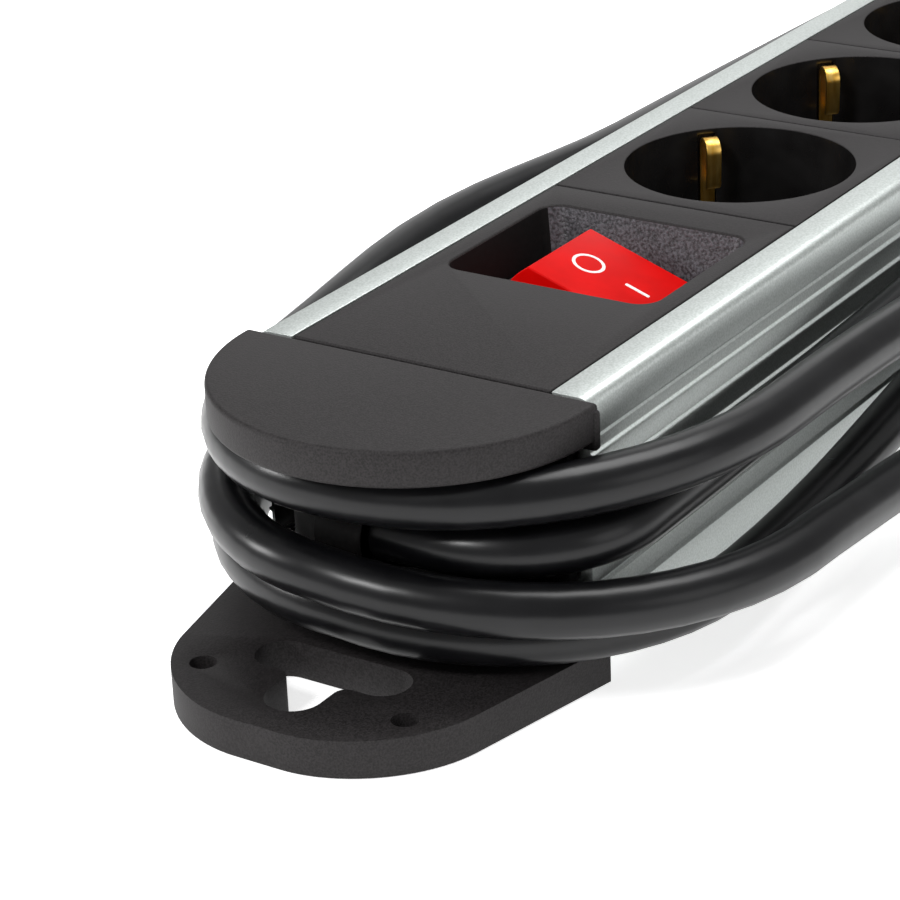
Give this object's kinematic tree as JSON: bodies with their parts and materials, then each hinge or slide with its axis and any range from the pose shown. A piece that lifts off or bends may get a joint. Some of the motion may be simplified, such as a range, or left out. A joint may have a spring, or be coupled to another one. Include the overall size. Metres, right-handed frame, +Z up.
{
  "type": "desk power strip",
  "caption": "Aluminium desk power strip with earthed sockets, a red rocker switch and a mains lead wound round its end caps.",
  "frame": {"origin": "on the floor, under the middle of the strip", "axes": "+X along the strip away from the switch end, +Z up, +Y to the O side of the switch"},
  "size_m": [0.4406, 0.1401, 0.044],
  "materials": {
    "aluminium": "satin anodised",
    "black_plastic": "fine grain",
    "red_plastic": "gloss",
    "brass": "bright",
    "steel": "plated",
    "cable": "semi-gloss",
    "insulator": "matte"
  },
  "bodies": {
    "body": {"aluminium_profile": "aluminium", "switch_cover": "black_plastic", "socket_insert_1": "black_plastic", "socket_insert_2": "black_plastic", "socket_insert_3": "black_plastic", "socket_insert_4": "black_plastic", "socket_insert_5": "black_plastic", "socket_insert_6": "black_plastic", "earth_clip_1": "brass", "earth_clip_2": "brass", "earth_clip_3": "brass", "earth_clip_4": "brass", "earth_clip_5": "brass", "earth_clip_6": "brass", "line_busbar": "brass", "neutral_busbar": "brass", "earth_busbar": "brass", "busbar_tray": "insulator", "switch_housing": "black_plastic", "switch_terminal_1": "brass", "switch_terminal_2": "brass", "switch_terminal_3": "brass", "switch_terminal_4": "brass", "near_end_cap": "black_plastic", "far_end_cap": "black_plastic", "near_cap_screw_left": "steel", "near_cap_screw_right": "steel", "far_cap_screw_left": "steel", "far_cap_screw_right": "steel", "strain_relief_bush": "cable", "mains_lead": "cable", "plug_boot": "cable", "plug_body": "cable", "plug_pin_1": "steel", "plug_pin_2": "steel", "plug_earth_contact_1": "steel", "plug_earth_contact_2": "steel"},
    "rocker": {"rocker": "red_plastic"}
  },
  "joints": [
    {"name": "rocker_hinge", "type": "hinge", "parent": "body", "child": "rocker", "pos_m": [-0.1247, 0, 0.0317], "axis": [-1, 0, 0], "range_deg": [0, 38]}
  ]
}
